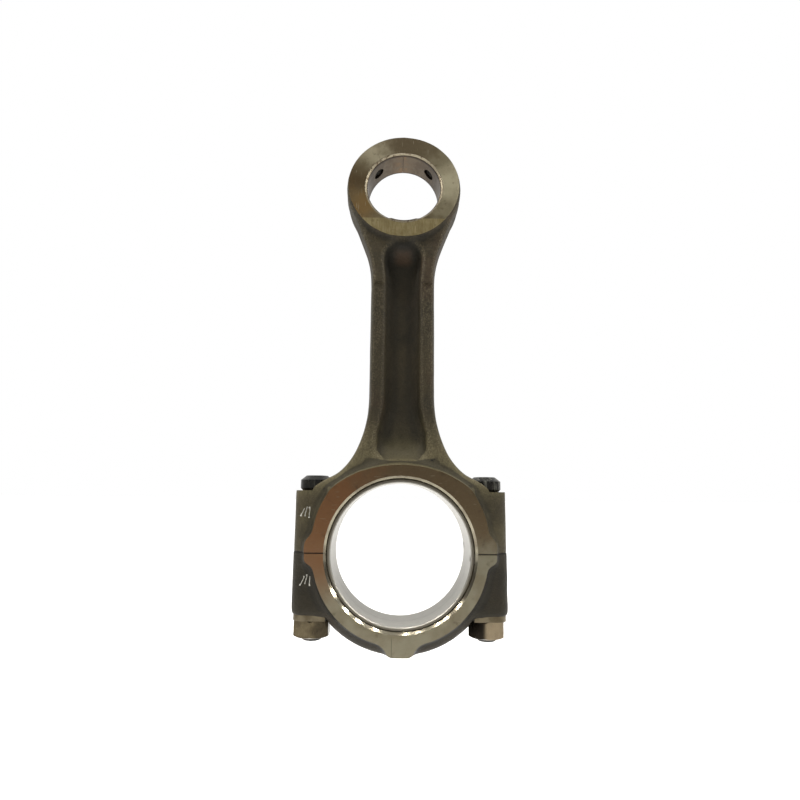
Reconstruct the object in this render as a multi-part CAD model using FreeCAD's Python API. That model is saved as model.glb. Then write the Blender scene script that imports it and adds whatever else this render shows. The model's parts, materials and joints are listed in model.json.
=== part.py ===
import FreeCAD, Part

import math
import os

from FreeCAD import Vector

# Connecting rod of a heavy diesel engine, in millimetres.
# Origin: centre of the crankpin bore. +Z runs up the shank to the small end, both bores lie along Y,
# and the two bolts stand side by side along X. -Y is the front.

# ---- driving dimensions ----
crankpin_r = 44.45            # bearing bore, with both shells in
shell_wall = 2.35
shell_half = 19.25            # half width of the shells
housing_r = crankpin_r + shell_wall
thrust_half = 20.6            # half width of the big end over its thrust faces
housing_chamfer = 2.0
thrust_root = 14.0            # the thrust faces' sloping flanks start at this half width
thrust_flank = 2.6            # and spread this far round the face

centre_distance = 254.0       # crankpin axis to piston-pin axis
pin_r = 26.2                  # piston-pin bore, inside the bush
bush_wall = 1.9
eye_bore_r = pin_r + bush_wall
eye_r = 41.0                  # outside of the small end
eye_half = 16.0               # half width over the flat, below the pin
taper_start = centre_distance - 24.8
taper_slope = 0.068           # each face leans in by this much per millimetre of height
bush_recess = 0.1             # the bush stops short of the eye's faces by this much
eye_lip = 2.5                 # bevel under the flat, down to the flange faces

bolt_x = 56.7                 # bolt axis from the bore's centre
bolt_r = 7.14
bolt_hole_r = 7.2
boss_half = 15.5              # half width of the bolt bosses, front to back
boss_corner_r = 8.5
boss_inner_x = 34.0           # each boss starts here, inside the forging
rod_boss_x = 69.4             # outside of the rod's bolt bosses
cap_boss_x = 69.7             # the cap's are a hair wider
shoulder_z = 39.1             # seat of the bolt heads
nut_seat_z = -42.2
pad_top_z = -39.2             # where the nut-seat pad leaves the cap's boss
pad_inset = 1.4
head_relief_r = 12.2          # spot-face round each bolt head
nut_relief_r = 14.0

head_r = 10.8
head_height = 9.9
head_top_r = 7.2
head_bevel = 2.9
head_foot = 1.6
nut_across_flats = 22.2
nut_height = 11.3
nut_turns = {"left": 30.0, "right": 16.5}   # how far each nut has come round, in degrees
bolt_end_z = -55.8
nut_bore_r = 7.2
nut_mouth = 1.0               # bevel at both ends of the nut's bore
head_flat = 9.6               # flat on each head's inner side, from the bolt's axis
head_clearance = 0.15
thread_pitch = 1.6
thread_depth = 0.85
thread_start_z = -37.0
bolt_tip = 0.6                # bevel on the bolt's end
shank_relief_r = 6.3          # the bolt is slimmer between its fitted lands
land_below_head_z = 25.0      # lower end of the land under the head
joint_land = 11.0             # half length of the land across the parting line
land_ease = 2.5               # length of the slope from a land to the slim shank

beam_x = 22.4                 # half width of the I-beam shank
flare_foot_x = 60.0           # the shank's flare ends here, in front of the bolt heads
flare_knee = (35.9, 55.2)     # and sweeps in through this corner
flare_top_z = 83.6            # where it meets the straight shank
neck_angle = 21.0             # slope of the shank's sides as they run out to the eye
draft = math.tan(math.radians(4.5))
flange_half_low = 15.2        # half depth of the flanges at the big end, and at the small end
flange_half_high = 13.9
flange_land = 0.8             # the flanges' middle stretch is sunk by this much
land_low_z = 84.3
land_high_z = 182.5
web_half = 4.4
recess_x = 12.1               # half width of the pocket, which is wider at both ends
recess_low_x = 17.0
recess_spread_z = (77.0, 95.0)    # it widens towards the big end between these heights
recess_head_x = 13.4
recess_head_z = (187.0, 197.0)    # and a little towards the small end
recess_head_r = 11.0
recess_floor_r = 9.3
recess_foot_z = 59.0          # where the pocket's floor has risen to the flanges, above the big end
recess_foot_r = 18.0
recess_top_z = 212.2
neck_r = 7.6                  # short hollow from the pocket's top to the eye
neck_y = 16.0
neck_top_z = 215.3

strap_r = 63.1                # outside of the cap, at mid depth
strap_half = 17.2
strap_edge_r = 7.5
oil_hole_r = 4.4
oil_mouth_depth = 1.5         # countersink of each oil hole on top of the eye
oil_hole_angle = 45.0
slit = 0.12                   # butt joint of the wrapped bush, a little left of the top
slit_x = -0.6
tang_width = 5.2              # the shells' tangs, both on the right: the lower one at the front
tang_reach = 1.4
tang_drop = 5.5
tang_start = shell_half - tang_width - 0.6
slot_spare = 0.3              # room round a tang in its slot
shell_edge = 0.5


def save(shape, node):
    if len(shape.Solids) != 1 or not shape.isValid():
        raise ValueError(f"{node}: {len(shape.Solids)} solids, valid {shape.isValid()}")
    shape.Solids[0].exportStep(f"parts/{node}.step")
    print(f"{node:22s} {shape.Volume / 1000:9.2f} cm3")


def at(x, z, y=0.0):
    return Vector(x, y, z)


def rounded_path(corners, y):
    """Closed wire in the plane at y through (x, z, radius) corners, each rounded by a tangent arc."""
    count = len(corners)
    ends = []
    for i, (x, z, radius) in enumerate(corners):
        here = at(x, z, y)
        before = at(*corners[i - 1][:2], y)
        after = at(*corners[(i + 1) % count][:2], y)
        if radius == 0:
            ends.append((here, here, here))
            continue
        back = (before - here).normalize()
        ahead = (after - here).normalize()
        half_angle = back.getAngle(ahead) / 2
        cut_back = radius / math.tan(half_angle)
        inward = (back + ahead).normalize()
        middle = here + inward * (radius / math.sin(half_angle) - radius)
        ends.append((here + back * cut_back, middle, here + ahead * cut_back))
    edges = []
    for i, (start, middle, end) in enumerate(ends):
        if start.distanceToPoint(end) > 1e-6:
            edges.append(Part.Arc(start, middle, end).toShape())
        following = ends[(i + 1) % count][0]
        if end.distanceToPoint(following) > 1e-6:
            edges.append(Part.LineSegment(end, following).toShape())
    return Part.Wire(edges)


def both_sides(right_side):
    """Corner list of a shape that is the same on both sides of the rod's centre line."""
    return right_side + [(-x, z, radius) for x, z, radius in reversed(right_side)]


def box(x0, x1, y0, y1, z0, z1):
    return Part.makeBox(x1 - x0, y1 - y0, z1 - z0, Vector(x0, y0, z0))


def cylinder_y(radius, z=0.0, half=60.0):
    return Part.makeCylinder(radius, 2 * half, Vector(0, -half, z), Vector(0, 1, 0))


def cylinder_z(radius, x, z0, z1):
    return Part.makeCylinder(radius, z1 - z0, Vector(x, 0, z0))


def end_rims(shape, half):
    """Edges of a round body that lie in its two end planes, front and back."""
    return [edge for edge in shape.Edges
            if edge.BoundBox.YLength < 0.01 and abs(abs(edge.CenterOfMass.y) - half) < 0.01]


def cone_cut(radius, chamfer, face_y, z, side):
    """Tool that breaks the edge of a bore along Y: a cone opening outwards at face_y on one side."""
    return Part.makeCone(radius - 1, radius + chamfer + 1, chamfer + 2,
                         Vector(0, side * (face_y - chamfer - 1), z), Vector(0, side, 0))


# ---- the shank: outline seen from the front, drafted away from the forging's mid plane ----
def shank_corners(inset):
    """Corners up the right side, from inside the big end to inside the eye, drawn in by the draft."""
    slope = math.radians(neck_angle)
    tangent_x = eye_r * math.cos(slope)
    tangent_z = centre_distance - eye_r * math.sin(slope)
    throat_z = tangent_z - (tangent_x - beam_x) / math.tan(slope)
    knee_x, knee_z = flare_knee
    return [
        (flare_foot_x - inset, 20.0, 0),
        (flare_foot_x - inset, shoulder_z - 0.2, 5.0),
        (knee_x - inset, knee_z - inset * 0.4, 42.0),
        (beam_x - inset, flare_top_z, 84.0),
        (beam_x - inset, throat_z, 66.0),
        (tangent_x - inset, tangent_z, 0),
        (tangent_x * 0.6, centre_distance, 0),
    ]


def shank():
    level = 20.0
    inset = level * draft
    front = rounded_path(both_sides(shank_corners(inset)), -level)
    middle = rounded_path(both_sides(shank_corners(0.0)), 0.0)
    back = rounded_path(both_sides(shank_corners(inset)), level)
    body = Part.makeLoft([front, middle, back], True, True)
    slope = (flange_half_low - flange_half_high) / (taper_start - shoulder_z)

    def depth(z, sunk=0.0):
        return flange_half_low - (z - shoulder_z) * slope - sunk

    return body.common(side_profile([
        (depth(0), 0),
        (depth(land_low_z), land_low_z - 1.0),
        (depth(land_low_z, flange_land), land_low_z),
        (depth(land_high_z, flange_land), land_high_z),
        (depth(land_high_z), land_high_z + 1.0),
        (depth(centre_distance), centre_distance + 5.0),
    ]))


def recess(side):
    """Round-bottomed pocket between the flanges on one side, ending in a ramp at the big end."""
    mouth_y = flange_half_low + 3.0
    foot_depth = flange_half_low - web_half
    foot_angle = math.acos(1 - foot_depth / recess_foot_r)
    ramp_z = recess_foot_z + recess_foot_r * math.sin(foot_angle)
    spread_low_z, spread_high_z = recess_spread_z
    head_low_z, head_high_z = recess_head_z
    outline = rounded_path(both_sides([
        (recess_low_x, recess_foot_z - 8.0, 0),
        (recess_low_x - 0.4, spread_low_z, 16.0),
        (recess_x, spread_high_z, 40.0),
        (recess_x, head_low_z, 24.0),
        (recess_head_x, head_high_z, 24.0),
        (recess_head_x, recess_top_z, recess_head_r),
    ]), -mouth_y)
    pocket = Part.Face(outline).extrude(Vector(0, mouth_y - web_half, 0))
    floor_edges = [edge for edge in pocket.Edges
                   if edge.BoundBox.YMin > -web_half - 0.01 and edge.BoundBox.ZMax > recess_foot_z]
    pocket = pocket.makeFillet(recess_floor_r, floor_edges)
    pocket = pocket.common(foot_limit(foot_angle, ramp_z))
    neck_start_z = recess_top_z - neck_r
    neck = Part.makeCylinder(neck_r, neck_top_z - neck_start_z, Vector(0, -neck_y, neck_start_z))
    pocket = pocket.fuse(neck)
    if side > 0:
        pocket = pocket.mirror(Vector(0, 0, 0), Vector(0, 1, 0))
    return pocket


def foot_limit(foot_angle, ramp_z):
    """Solid that ends the pocket in an arc, climbing from the web at ramp_z out to the flanges' faces."""
    reach = 30.0                  # well outside the pocket, to the sides and to the front
    above_z = centre_distance

    def foot(angle):
        return Vector(-reach, -web_half - recess_foot_r * (1 - math.cos(angle)),
                      ramp_z - recess_foot_r * math.sin(angle))

    last_angle = foot_angle * 1.25
    last = foot(last_angle)
    arc = Part.Arc(foot(0.0), foot(last_angle / 2), last).toShape()
    corners = [last, Vector(-reach, -reach, last.z), Vector(-reach, -reach, above_z),
               Vector(-reach, -web_half, above_z), foot(0.0)]
    lines = [Part.LineSegment(a, b).toShape() for a, b in zip(corners, corners[1:])]
    return Part.Face(Part.Wire([arc] + lines)).extrude(Vector(2 * reach, 0, 0))


def wedge(half):
    """Slab that thins towards the crown: parallel up to the taper line, then leaning in on both sides."""
    top = centre_distance + eye_r + 5.0
    lean = (top - taper_start) * taper_slope
    return side_profile([(half, 150.0), (half, taper_start), (half - lean, top)])


def side_profile(levels):
    """Solid as wide as the rod whose half depth follows (half depth, z) levels from low to high."""
    width = 2 * rod_boss_x
    outline = [Vector(-rod_boss_x, -y, z) for y, z in levels]
    outline += [Vector(-rod_boss_x, y, z) for y, z in reversed(levels)]
    return Part.Face(Part.makePolygon(outline + outline[:1])).extrude(Vector(width, 0, 0))


def eye():
    """The small end: a round eye, bevelled below the flat and cut to a wedge above it."""
    body = cylinder_y(eye_r, centre_distance, eye_half)
    body = body.makeChamfer(eye_lip, end_rims(body, eye_half))
    return body.common(wedge(eye_half))


def oil_hole(sign, radius, inner, outer):
    """Drilling through the small end's wall, up and to one side of the pin."""
    angle = math.radians(oil_hole_angle)
    along = Vector(sign * math.sin(angle), 0, math.cos(angle))
    start = Vector(0, 0, centre_distance) + along * inner
    return Part.makeCylinder(radius, outer - inner, start, along)


# ---- the big end ----
def thrust_wire(y, spread=0.0):
    """Outline of the machined thrust face over rod and cap, in the plane at y, or spread outwards."""
    def out(x, z):
        stretch = 1 + spread / math.hypot(x, z)
        return at(x * stretch, z * stretch, y)

    def line(a, b):
        return Part.LineSegment(out(*a), out(*b)).toShape()

    def arc(a, via, b):
        return Part.Arc(out(*a), out(*via), out(*b)).toShape()

    edges = [arc((-42.2, 42.0), (0, 55.8), (42.2, 42.0)), line((-6.9, -61.4), (6.9, -61.4))]
    for s in (1, -1):
        edges += [
            arc((s * 42.2, 42.0), (s * 50.4, 30.0), (s * 55.4, 12.2)),
            line((s * 55.4, 12.2), (s * 60.4, 7.0)),
            line((s * 60.4, 7.0), (s * 60.4, -5.8)),
            line((s * 60.4, -5.8), (s * 57.4, -6.6)),
            arc((s * 57.4, -6.6), (s * 54.9, -8.6), (s * 53.8, -12.2)),
            arc((s * 53.8, -12.2), (s * 41.2, -36.7), (s * 16.8, -52.5)),
            arc((s * 16.8, -52.5), (s * 11.0, -55.2), (s * 8.7, -58.2)),
            line((s * 8.7, -58.2), (s * 6.9, -61.4)),
        ]
    return Part.Wire(Part.__sortEdges__(edges))


def big_end_ring():
    """The raised thrust faces, front and back, with sloping as-forged flanks under them."""
    faces = [(-thrust_half, 0.0), (-thrust_root, thrust_flank), (thrust_root, thrust_flank), (thrust_half, 0.0)]
    return Part.makeLoft([thrust_wire(y, spread) for y, spread in faces], True, True)


def strap():
    disc = cylinder_y(strap_r, 0.0, strap_half)
    disc = disc.makeFillet(strap_edge_r, end_rims(disc, strap_half))
    return disc.common(box(-80, 80, -30, 30, -80, 0))


def boss(sign, outer_x, z0, z1, inset=0.0):
    """Bolt boss: a block whose outer upright corners are round."""
    block = box(boss_inner_x, outer_x - inset, -boss_half + inset, boss_half - inset, z0, z1)
    corners = [edge for edge in block.Edges
               if abs(edge.CenterOfMass.x - outer_x + inset) < 0.01 and edge.BoundBox.ZLength > z1 - z0 - 0.01]
    block = block.makeFillet(boss_corner_r, corners)
    if sign < 0:
        block = block.mirror(Vector(0, 0, 0), Vector(1, 0, 0))
    return block


def tang_slot(up, spare=0.0):
    """Block at the parting line where a shell's tang sits; the slot in the housing has some room to spare."""
    low_y = tang_start if up else -tang_start - tang_width
    drop = tang_drop + spare
    return box(housing_r - 1.0, housing_r + tang_reach + spare, low_y - spare, low_y + tang_width + spare,
               0.0 if up else -drop, drop if up else 0.0)


def rod_forging():
    body = shank().fuse([eye(), big_end_ring()])
    for sign in (-1, 1):
        body = body.fuse(boss(sign, rod_boss_x, 0.0, shoulder_z))
    body = body.cut(box(-90, 90, -40, 40, -90, 0))
    for sign in (-1, 1):
        body = body.cut(head_relief(sign))
        body = body.cut(cylinder_z(bolt_hole_r, sign * bolt_x, -5, shoulder_z + 5))
        body = body.cut(recess(sign))
    body = body.cut(cylinder_y(housing_r)).cut(cylinder_y(eye_bore_r, centre_distance))
    for sign in (-1, 1):
        body = body.cut(cone_cut(housing_r, housing_chamfer, thrust_half, 0.0, sign))
        body = body.cut(oil_hole(sign, oil_hole_r, pin_r, eye_r + 5))
        body = body.cut(oil_hole_mouth(sign))
    body = body.cut(tang_slot(True, slot_spare))
    return body.removeSplitter()


def head_relief(sign):
    """Spot-face for a bolt head, with a straight wall on the inner side that stops the head turning."""
    wall = bolt_x - head_flat - head_clearance
    tool = cylinder_z(head_relief_r, bolt_x, shoulder_z, shoulder_z + 40)
    tool = tool.common(box(wall, bolt_x + 20, -20, 20, shoulder_z, shoulder_z + 40))
    if sign < 0:
        tool = tool.mirror(Vector(0, 0, 0), Vector(1, 0, 0))
    return tool


def oil_hole_mouth(sign):
    """Countersink where an oil hole comes out on top of the eye."""
    angle = math.radians(oil_hole_angle)
    along = Vector(sign * math.sin(angle), 0, math.cos(angle))
    start = Vector(0, 0, centre_distance) + along * (eye_r - oil_mouth_depth)
    return Part.makeCone(oil_hole_r, oil_hole_r + 2 * oil_mouth_depth, 2 * oil_mouth_depth, start, along)


def bearing_cap():
    body = strap().fuse(big_end_ring())
    for sign in (-1, 1):
        body = body.fuse(boss(sign, cap_boss_x, pad_top_z, 0.0))
        body = body.fuse(boss(sign, cap_boss_x, nut_seat_z, 0.0, pad_inset))
    body = body.cut(box(-90, 90, -40, 40, 0, 90))
    for sign in (-1, 1):
        body = body.cut(cylinder_z(nut_relief_r, sign * bolt_x, nut_seat_z - 40, nut_seat_z))
        body = body.cut(cylinder_z(bolt_hole_r, sign * bolt_x, nut_seat_z - 5, 5))
    body = body.cut(cylinder_y(housing_r))
    for side in (-1, 1):
        body = body.cut(cone_cut(housing_r, housing_chamfer, thrust_half, 0.0, side))
    body = body.cut(tang_slot(False, slot_spare))
    return body.removeSplitter()


def small_end_bush():
    """Wrapped bronze bush: a rolled strip whose ends meet at the top, drilled for oil."""
    body = cylinder_y(eye_bore_r, centre_distance).cut(cylinder_y(pin_r, centre_distance))
    body = body.common(wedge(eye_half - bush_recess))
    top_z = centre_distance + pin_r
    body = body.cut(box(slit_x - slit / 2, slit_x + slit / 2, -30, 30, top_z - 5, top_z + 5))
    for sign in (-1, 1):
        body = body.cut(oil_hole(sign, oil_hole_r, pin_r - 5, eye_r))
    return body


def bearing_shell(up):
    """Half of the crankpin bearing: a thin steel-backed shell with a tang pressed out at one end."""
    body = cylinder_y(housing_r, 0.0, shell_half).cut(cylinder_y(crankpin_r))
    body = body.makeChamfer(shell_edge, end_rims(body, shell_half))
    body = body.common(box(-60, 60, -30, 30, 0, 60) if up else box(-60, 60, -30, 30, -60, 0))
    body = body.fuse(tang_slot(up))
    dent = tang_slot(up, -0.8)
    dent.translate(Vector(-tang_reach - 1.6, 0, 0))
    dent.rotate(Vector(crankpin_r, 0, 0), Vector(0, 1, 0), 8 if up else -8)
    return body.cut(dent).removeSplitter()


def turned(profile, x):
    """Solid of revolution about the bolt axis at x, from (radius, z) points that start and end on the axis."""
    wire = Part.makePolygon([Vector(radius, 0, z) for radius, z in profile + profile[:1]])
    body = Part.Face(wire).revolve(Vector(0, 0, 0), Vector(0, 0, 1), 360)
    body.translate(Vector(x, 0, 0))
    return body


def rod_bolt(sign):
    """Round-headed rod bolt: fitted lands at the head and across the joint, slimmer in between."""
    head_z = shoulder_z + head_height
    root_r = bolt_r - thread_depth
    profile = [
        (0, head_z), (head_top_r, head_z), (head_r, head_z - head_bevel), (head_r, shoulder_z + head_foot),
        (head_r - head_foot, shoulder_z), (bolt_r, shoulder_z), (bolt_r, land_below_head_z),
        (shank_relief_r, land_below_head_z - land_ease), (shank_relief_r, joint_land + land_ease),
        (bolt_r, joint_land), (bolt_r, -joint_land), (shank_relief_r, -joint_land - land_ease),
        (shank_relief_r, thread_start_z),
    ]
    z = thread_start_z - thread_pitch / 2
    while z - thread_pitch > bolt_end_z:
        profile += [(bolt_r, z), (bolt_r, z - thread_pitch * 0.2), (root_r, z - thread_pitch * 0.6)]
        z -= thread_pitch
    profile += [(root_r, bolt_end_z + bolt_tip), (root_r - bolt_tip, bolt_end_z), (0, bolt_end_z)]
    body = turned(profile, bolt_x)
    body = body.cut(box(0, bolt_x - head_flat, -20, 20, shoulder_z - 1, head_z + 1))
    if sign < 0:
        body = body.mirror(Vector(0, 0, 0), Vector(1, 0, 0))
    return body


def rod_nut(sign, turn):
    """Hexagon nut, its corners rounded off by a 30 degree bevel at both ends."""
    corner_r = nut_across_flats / 2 / math.cos(math.radians(30))
    low = nut_seat_z - nut_height
    corners = [Vector(corner_r * math.cos(math.radians(turn + 60 * k)),
                      corner_r * math.sin(math.radians(turn + 60 * k)), low) for k in range(7)]
    body = Part.Face(Part.makePolygon(corners)).extrude(Vector(0, 0, nut_height))
    flat_r = nut_across_flats / 2 - 0.4
    fall = (corner_r + 0.5 - flat_r) * math.tan(math.radians(30))
    profile = [(0, low), (flat_r, low), (corner_r + 0.5, low + fall), (corner_r + 0.5, nut_seat_z - fall),
               (flat_r, nut_seat_z), (0, nut_seat_z)]
    body = body.common(turned(profile, 0.0))
    mouth_r = nut_bore_r + nut_mouth
    bore = [(0, low - 1), (mouth_r, low - 1), (mouth_r, low), (nut_bore_r, low + nut_mouth),
            (nut_bore_r, nut_seat_z - nut_mouth), (mouth_r, nut_seat_z), (mouth_r, nut_seat_z + 1),
            (0, nut_seat_z + 1)]
    body = body.cut(turned(bore, 0.0))
    body.translate(Vector(sign * bolt_x, 0, 0))
    return body


os.makedirs("parts", exist_ok=True)
save(rod_forging(), "rod_forging")
save(bearing_cap(), "bearing_cap")
save(small_end_bush(), "small_end_bush")
save(bearing_shell(True), "upper_bearing_shell")
save(bearing_shell(False), "lower_bearing_shell")
for side_name, side_sign in (("left", -1), ("right", 1)):
    save(rod_bolt(side_sign), f"{side_name}_rod_bolt")
    save(rod_nut(side_sign, nut_turns[side_name]), f"{side_name}_rod_nut")
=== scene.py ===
import json
import math
import bmesh
import bpy
import numpy as np
from mathutils import Matrix, Vector
from mathutils.kdtree import KDTree


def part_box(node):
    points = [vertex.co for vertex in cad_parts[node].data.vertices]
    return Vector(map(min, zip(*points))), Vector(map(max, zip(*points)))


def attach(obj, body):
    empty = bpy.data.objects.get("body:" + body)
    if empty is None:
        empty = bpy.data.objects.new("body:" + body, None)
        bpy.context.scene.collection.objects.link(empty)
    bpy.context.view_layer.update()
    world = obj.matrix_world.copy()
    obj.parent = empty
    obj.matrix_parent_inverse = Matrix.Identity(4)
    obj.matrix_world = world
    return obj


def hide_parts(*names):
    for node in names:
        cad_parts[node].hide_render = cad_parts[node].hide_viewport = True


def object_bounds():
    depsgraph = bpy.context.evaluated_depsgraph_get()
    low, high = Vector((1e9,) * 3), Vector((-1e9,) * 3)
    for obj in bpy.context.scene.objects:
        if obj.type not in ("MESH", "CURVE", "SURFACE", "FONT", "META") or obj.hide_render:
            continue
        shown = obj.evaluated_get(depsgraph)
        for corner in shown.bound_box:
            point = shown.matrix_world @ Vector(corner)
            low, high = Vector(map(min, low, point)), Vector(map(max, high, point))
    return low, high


# Connecting rod: the forgings are made the way the real ones are, as soft blanks that are then machined.
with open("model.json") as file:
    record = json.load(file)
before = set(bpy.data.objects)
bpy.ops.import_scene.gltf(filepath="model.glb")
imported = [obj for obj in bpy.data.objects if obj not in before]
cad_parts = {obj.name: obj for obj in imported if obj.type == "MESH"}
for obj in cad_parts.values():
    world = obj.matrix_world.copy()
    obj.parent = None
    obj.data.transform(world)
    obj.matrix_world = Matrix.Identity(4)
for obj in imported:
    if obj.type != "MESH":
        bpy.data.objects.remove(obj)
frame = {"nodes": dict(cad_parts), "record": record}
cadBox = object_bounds()
scene = bpy.context.scene
mm = 0.001

mounts = {mount["name"]: mount for mount in frame["record"]["mounts"]}
boxes = {name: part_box(name) for name in frame["nodes"]}
crankR = mounts["crankpin_bore"]["dims"]["r_mm"] * mm
pinR = mounts["piston_pin_bore"]["dims"]["r_mm"] * mm
pinZ = mounts["piston_pin_bore"]["pos_m"][2]
thrustHalf = mounts["back_thrust_face"]["pos_m"][1]
housingR = -boxes["upper_bearing_shell"][0].x
shellHalf = boxes["upper_bearing_shell"][1].y
eyeBoreR = -boxes["small_end_bush"][0].x
nutSeatZ = boxes["left_rod_nut"][1].z
nutX = (boxes["right_rod_nut"][0].x + boxes["right_rod_nut"][1].x) / 2
boltTopZ = boxes["left_rod_bolt"][1].z
far = 90 * mm                     # past the big end on every side
beside = 40 * mm                  # past the front and the back
margin = 1 * mm                   # how far a cutting tool overlaps what it cuts
close = 0.05 * mm                 # nearer to a face than this counts as on it
sharpAngle = math.radians(28)


class Wire:
    # one output of a node; Python's operators on it add the Math nodes
    def __init__(self, finish, socket):
        self.finish = finish
        self.socket = socket

    def maths(self, operation, first, second=0.0):
        return self.finish.node("ShaderNodeMath", {"operation": operation}, {0: first, 1: second})

    def __add__(self, other):
        return self.maths("ADD", self, other)

    def __sub__(self, other):
        return self.maths("SUBTRACT", self, other)

    def __rsub__(self, other):
        return self.maths("SUBTRACT", other, self)

    def __mul__(self, other):
        return self.maths("MULTIPLY", self, other)

    def __truediv__(self, other):
        return self.maths("DIVIDE", self, other)

    def __pow__(self, other):
        return self.maths("POWER", self, other)

    __radd__ = __add__
    __rmul__ = __mul__

    def wave(self):
        return self.maths("SINE", self)

    def size(self):
        return self.maths("ABSOLUTE", self)

    def atMost(self, other):
        return self.maths("MINIMUM", self, other)

    def step(self, low, high):
        # 0 below low, 1 above high, and smooth between them; high may be the smaller one
        return self.finish.node("ShaderNodeMapRange", {"interpolation_type": "SMOOTHSTEP"},
                                {"Value": self, "From Min": low, "From Max": high})


class Finish:
    # a material and the means to build its nodes
    def __init__(self, name, **shaderValues):
        self.material = bpy.data.materials.new(name)
        self.material.use_nodes = True
        self.tree = self.material.node_tree
        self.shader = self.tree.nodes["Principled BSDF"]
        for socket, value in shaderValues.items():
            self.shader.inputs[socket.replace("_", " ")].default_value = value
        self.place = self.node("ShaderNodeTexCoord", output="Object")
        self.x, self.y, self.z = (self.node("ShaderNodeSeparateXYZ", {}, {0: self.place}, axis) for axis in "XYZ")

    def node(self, kind, settings=None, sockets=None, output=0):
        made = self.tree.nodes.new(kind)
        for key, value in (settings or {}).items():
            setattr(made, key, value)
        for key, value in (sockets or {}).items():
            if isinstance(value, Wire):
                self.tree.links.new(value.socket, made.inputs[key])
            else:
                made.inputs[key].default_value = value
        return Wire(self, made.outputs[output])

    def noise(self, grain, detail=3.0, stretch=(1, 1, 1), shift=0.0, roughness=0.55):
        # grain is the size of one patch, in metres
        where = self.node("ShaderNodeMapping", {}, {"Vector": self.place, "Location": (shift, shift, shift),
                                                    "Scale": stretch})
        return self.node("ShaderNodeTexNoise", {}, {"Vector": where, "Scale": 1.0 / grain, "Detail": detail,
                                                    "Roughness": roughness}, "Fac")

    def tint(self, first, second, factor):
        return self.node("ShaderNodeMix", {"data_type": "RGBA"},
                         {0: factor, 6: self.colour(first), 7: self.colour(second)}, 2)

    def colour(self, value):
        return value if isinstance(value, Wire) else (*value, 1.0)

    def reach(self, z=0.0):
        # distance from a bore axis along Y at that height
        up = self.z - z
        return (self.x * self.x + up * up) ** 0.5

    def feed(self, **wires):
        for socket, wire in wires.items():
            self.tree.links.new(wire.socket, self.shader.inputs[socket.replace("_", " ")])

    def relief(self, *layers):
        # each layer is a height wire and the depth in metres that its whole range stands for
        normal = None
        for height, depth in layers:
            sockets = {"Strength": 1.0, "Distance": depth, "Height": height}
            if normal:
                sockets["Normal"] = normal
            normal = self.node("ShaderNodeBump", {}, sockets)
        self.feed(Normal=normal)


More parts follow.
